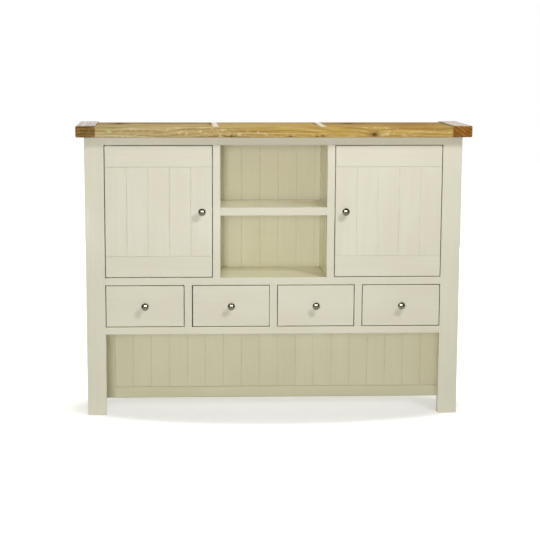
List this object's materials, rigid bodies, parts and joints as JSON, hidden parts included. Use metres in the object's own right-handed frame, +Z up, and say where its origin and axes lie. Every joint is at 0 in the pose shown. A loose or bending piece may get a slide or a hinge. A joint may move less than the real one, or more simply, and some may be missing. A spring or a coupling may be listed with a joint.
{
  "type": "highboard",
  "caption": "Painted highboard with an oak top: boarded doors either side of an open shelf niche, a row of drawers and an open bay below.",
  "frame": {"origin": "on the floor, under the middle of the oak top", "axes": "+Z up, +X to the viewer's right, the front faces -Y"},
  "size_m": [1.406, 0.346, 1.05],
  "materials": {
    "cream_paint": "satin cream paint on wood",
    "honey_oak": "satin lacquer, rustic oak with knots",
    "dark_oak_cap": "satin lacquer, dark brown oak",
    "red_oak_cap": "satin lacquer, reddish brown oak",
    "drawer_wood": "bare pale wood",
    "brushed_nickel": "brushed nickel",
    "zinc_steel": "zinc plated"
  },
  "bodies": {
    "carcass": {"top_field": "honey_oak", "top_end_cap_left": "dark_oak_cap", "top_end_cap_right": "red_oak_cap", "front_post_left": "cream_paint", "front_post_right": "cream_paint", "top_rail": "cream_paint", "middle_rail": "cream_paint", "bottom_rail": "cream_paint", "side_panel_left": "cream_paint", "side_panel_right": "cream_paint", "cupboard_floor": "cream_paint", "drawer_floor": "cream_paint", "niche_partition_left": "cream_paint", "niche_partition_right": "cream_paint", "niche_shelf": "cream_paint", "cupboard_shelf_left": "cream_paint", "cupboard_shelf_right": "cream_paint", "drawer_partition_1": "cream_paint", "drawer_partition_2": "cream_paint", "drawer_partition_3": "cream_paint", "back_boards": "cream_paint", "back_foot_rail": "cream_paint", "door_pivot_upper_left": "zinc_steel", "door_pivot_lower_left": "zinc_steel", "door_pivot_upper_right": "zinc_steel", "door_pivot_lower_right": "zinc_steel", "door_catch_left": "zinc_steel", "door_catch_right": "zinc_steel"},
    "left_door": {"door_boards_left": "cream_paint", "door_top_clamp_left": "cream_paint", "door_bottom_clamp_left": "cream_paint", "door_knob_left": "brushed_nickel"},
    "right_door": {"door_boards_right": "cream_paint", "door_top_clamp_right": "cream_paint", "door_bottom_clamp_right": "cream_paint", "door_knob_right": "brushed_nickel"},
    "drawer_1": {"drawer_front_1": "cream_paint", "drawer_side_left_1": "drawer_wood", "drawer_side_right_1": "drawer_wood", "drawer_back_1": "drawer_wood", "drawer_bottom_1": "drawer_wood", "drawer_knob_1": "brushed_nickel"},
    "drawer_2": {"drawer_front_2": "cream_paint", "drawer_side_left_2": "drawer_wood", "drawer_side_right_2": "drawer_wood", "drawer_back_2": "drawer_wood", "drawer_bottom_2": "drawer_wood", "drawer_knob_2": "brushed_nickel"},
    "drawer_3": {"drawer_front_3": "cream_paint", "drawer_side_left_3": "drawer_wood", "drawer_side_right_3": "drawer_wood", "drawer_back_3": "drawer_wood", "drawer_bottom_3": "drawer_wood", "drawer_knob_3": "brushed_nickel"},
    "drawer_4": {"drawer_front_4": "cream_paint", "drawer_side_left_4": "drawer_wood", "drawer_side_right_4": "drawer_wood", "drawer_back_4": "drawer_wood", "drawer_bottom_4": "drawer_wood", "drawer_knob_4": "brushed_nickel"}
  },
  "joints": [
    {"name": "left_door_swing", "type": "hinge", "parent": "carcass", "child": "left_door", "pos_m": [-0.5873, -0.125, 0.74225], "axis": [0, 0, -1], "range_deg": [0, 105]},
    {"name": "right_door_swing", "type": "hinge", "parent": "carcass", "child": "right_door", "pos_m": [0.5873, -0.125, 0.74225], "axis": [0, 0, 1], "range_deg": [0, 105]},
    {"name": "drawer_1_slide", "type": "slide", "parent": "carcass", "child": "drawer_1", "axis": [0, -1, 0], "range_m": [0, 0.2]},
    {"name": "drawer_2_slide", "type": "slide", "parent": "carcass", "child": "drawer_2", "axis": [0, -1, 0], "range_m": [0, 0.2]},
    {"name": "drawer_3_slide", "type": "slide", "parent": "carcass", "child": "drawer_3", "axis": [0, -1, 0], "range_m": [0, 0.2]},
    {"name": "drawer_4_slide", "type": "slide", "parent": "carcass", "child": "drawer_4", "axis": [0, -1, 0], "range_m": [0, 0.2]}
  ]
}
